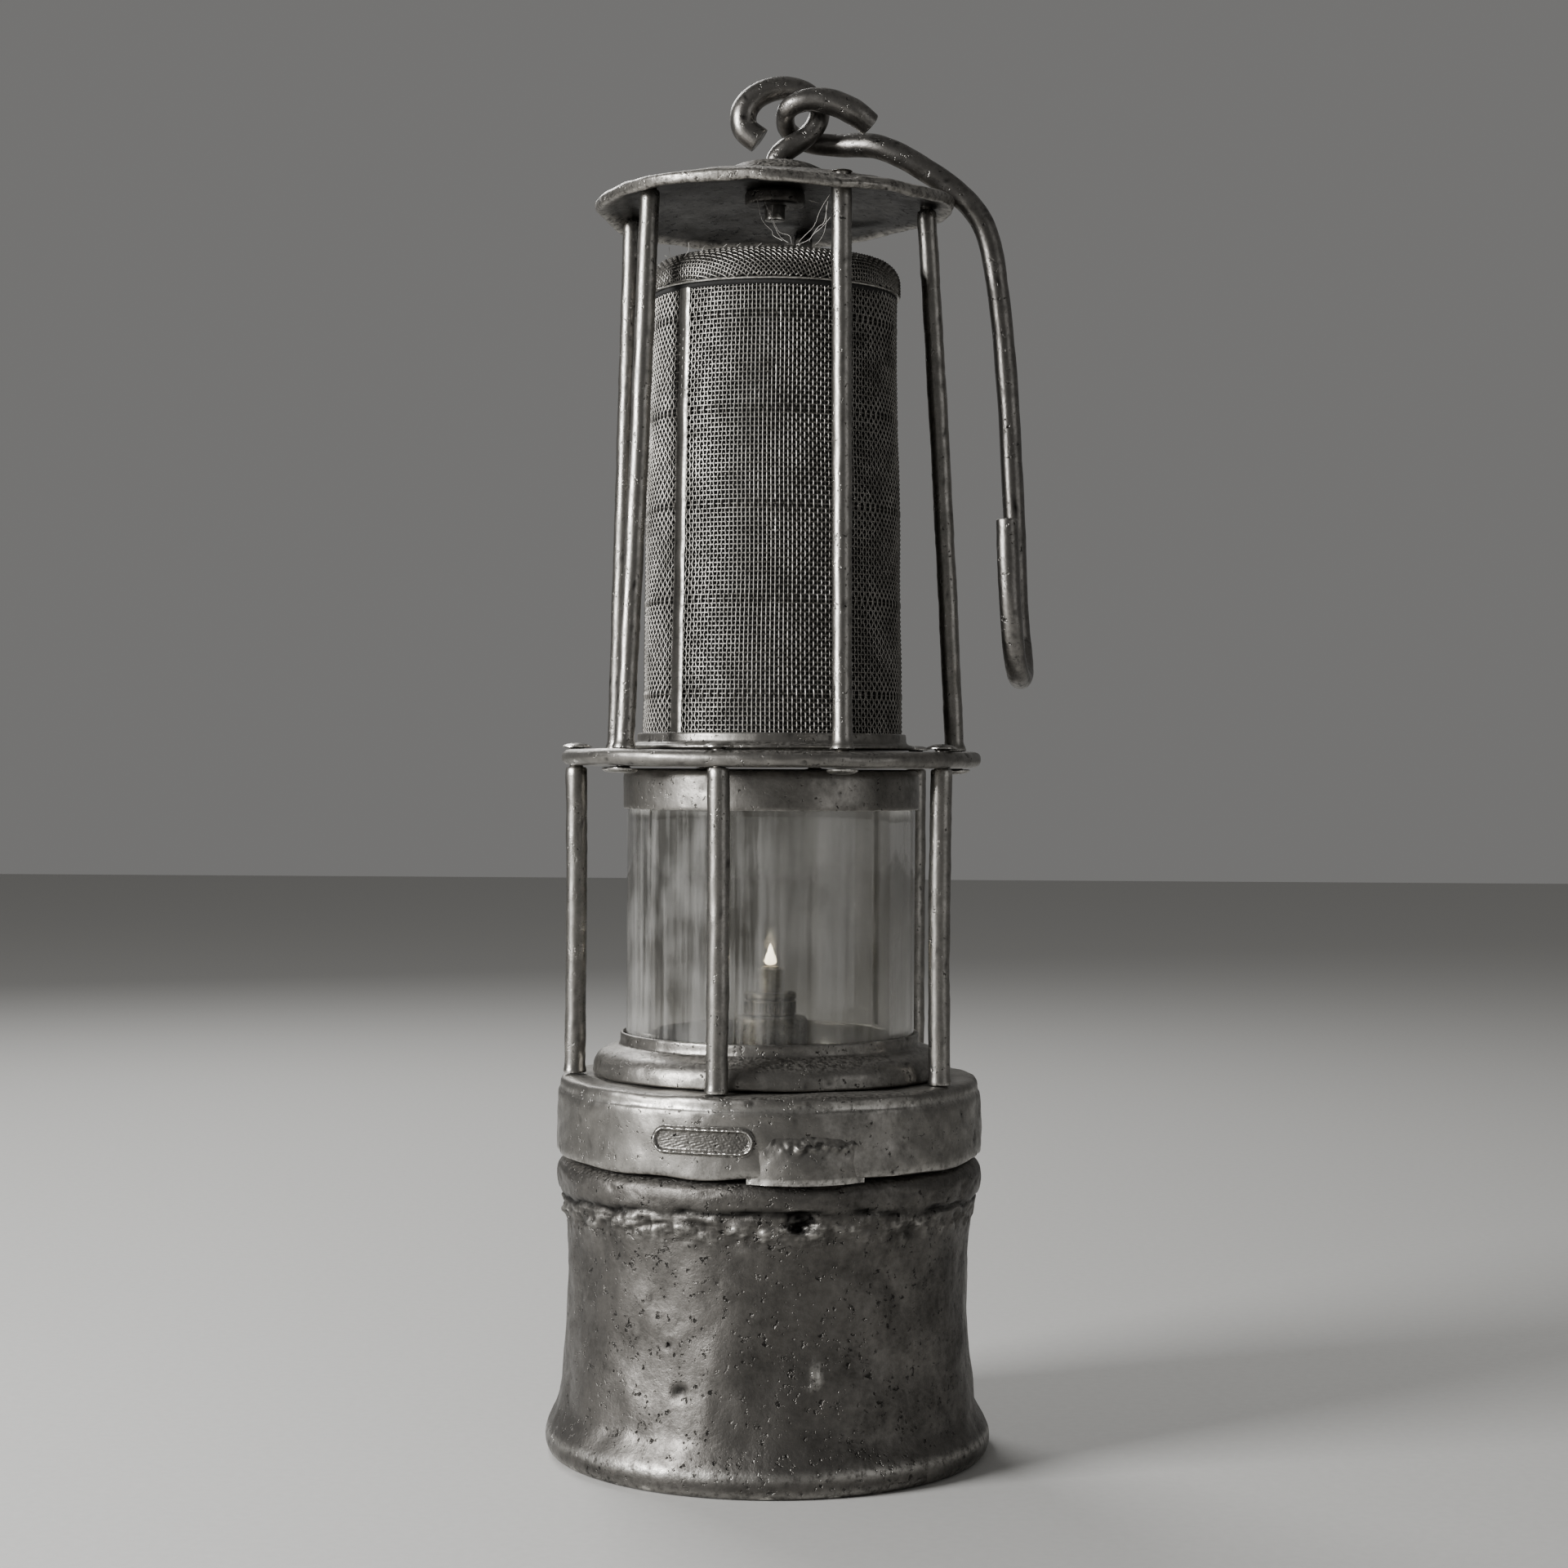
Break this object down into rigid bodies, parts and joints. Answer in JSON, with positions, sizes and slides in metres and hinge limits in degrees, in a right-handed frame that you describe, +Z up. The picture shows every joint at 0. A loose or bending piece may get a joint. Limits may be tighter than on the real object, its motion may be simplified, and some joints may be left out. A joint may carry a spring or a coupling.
{
  "type": "miner's safety lamp",
  "caption": "Flame safety lamp: oil vessel, glass and wire gauze caged between pillared rings, top plate with swivel eye and long carrying hook.",
  "frame": {"origin": "centre of the base's flat underside, on the lamp's axis", "axes": "+Z up along the lamp's axis; -Y towards the front, with the number plate and the lock; +X towards the side the hook hangs on"},
  "size_m": [0.1003, 0.0924, 0.2853],
  "materials": {
    "pot_iron": "hammered, oxidised iron with bare worn edges",
    "frame_iron": "old ring and pillar metal, dull grey with rubbed highlights",
    "plate_iron": "dark buckled sheet iron with a worn rim",
    "hook_steel": "bare forged rod, rubbed by use",
    "burner_brass": "darkened brass",
    "gauze_steel": "woven steel wire cloth with dust",
    "lamp_glass": "thick glass, hazed and dusty inside",
    "cotton": "loose cotton",
    "leather": "oiled leather"
  },
  "bodies": {
    "vessel": {"vessel_shell": "pot_iron", "vessel_base": "pot_iron", "vessel_deck": "burner_brass", "cotton_wadding": "cotton", "burner_holder": "burner_brass", "burner_cap": "burner_brass", "wick_tube": "burner_brass", "spindle_gland": "burner_brass"},
    "wick_key": {"wick_spindle": "burner_brass", "wick_knob": "burner_brass"},
    "wick_lift": {"wick": "cotton", "wick_carrier": "burner_brass"},
    "filler_ring": {"filler_washer": "leather"},
    "filler": {"filler_plug": "burner_brass"},
    "seal": {"neck_seal": "leather"},
    "cage": {"collar_ring": "frame_iron", "number_plate": "frame_iron", "lock_housing": "frame_iron", "glass_seat": "frame_iron", "glass_gasket_lower": "leather", "glass": "lamp_glass", "glass_gasket_upper": "leather", "upper_glass_ring": "frame_iron", "middle_ring": "frame_iron", "lower_pillar_1": "frame_iron", "lower_pillar_2": "frame_iron", "lower_pillar_3": "frame_iron", "lower_pillar_4": "frame_iron", "lower_pillar_5": "frame_iron", "upper_pillar_1": "frame_iron", "upper_pillar_2": "frame_iron", "upper_pillar_3": "frame_iron", "upper_pillar_4": "frame_iron", "upper_pillar_5": "frame_iron", "gauze_ring": "frame_iron", "gauze": "gauze_steel", "gauze_cap": "gauze_steel", "top_plate": "plate_iron", "boss_washer": "plate_iron"},
    "lock": {"lock_bolt": "frame_iron"},
    "swivel": {"swivel_eye": "hook_steel", "swivel_nut": "plate_iron"},
    "hook": {"hook": "hook_steel"}
  },
  "joints": [
    {"name": "wick_knob_turn", "type": "hinge", "parent": "vessel", "child": "wick_key", "pos_m": [-0.017, 0, 0], "axis": [0, 0, 1], "range_deg": [-1440, 1080]},
    {"name": "wick_rise", "type": "slide", "parent": "vessel", "child": "wick_lift", "axis": [0, 0, 1], "range_m": [-0.00405, 0.00305]},
    {"name": "filler_rise", "type": "slide", "parent": "vessel", "child": "filler_ring", "axis": [0, 0, 1], "range_m": [0, 0.00505]},
    {"name": "filler_turn", "type": "hinge", "parent": "filler_ring", "child": "filler", "pos_m": [0.017, 0.0125, 0], "axis": [0, 0, 1], "range_deg": [0, 1440]},
    {"name": "cage_rise", "type": "slide", "parent": "vessel", "child": "seal", "axis": [0, 0, 1], "range_m": [0, 0.0106]},
    {"name": "cage_unscrew", "type": "hinge", "parent": "seal", "child": "cage", "pos_m": [0, 0, 0], "axis": [0, 0, 1], "range_deg": [0, 1260]},
    {"name": "lock_slide", "type": "slide", "parent": "cage", "child": "lock", "axis": [0, 0, -1], "range_m": [0, 0.0024]},
    {"name": "swivel_turn", "type": "hinge", "parent": "cage", "child": "swivel", "pos_m": [0, 0, 0.26], "axis": [0, 0, 1], "continuous": true},
    {"name": "hook_swing", "type": "hinge", "parent": "swivel", "child": "hook", "pos_m": [0.0022, 0, 0.2768], "axis": [0, -1, 0], "range_deg": [0, 150]}
  ],
  "couplings": [
    {"joint": "wick_rise", "follows": "wick_knob_turn", "m_per_rad": 0.00015915},
    {"joint": "filler_rise", "follows": "filler_turn", "m_per_rad": 0.00019894},
    {"joint": "cage_rise", "follows": "cage_unscrew", "m_per_rad": 0.00047746}
  ]
}
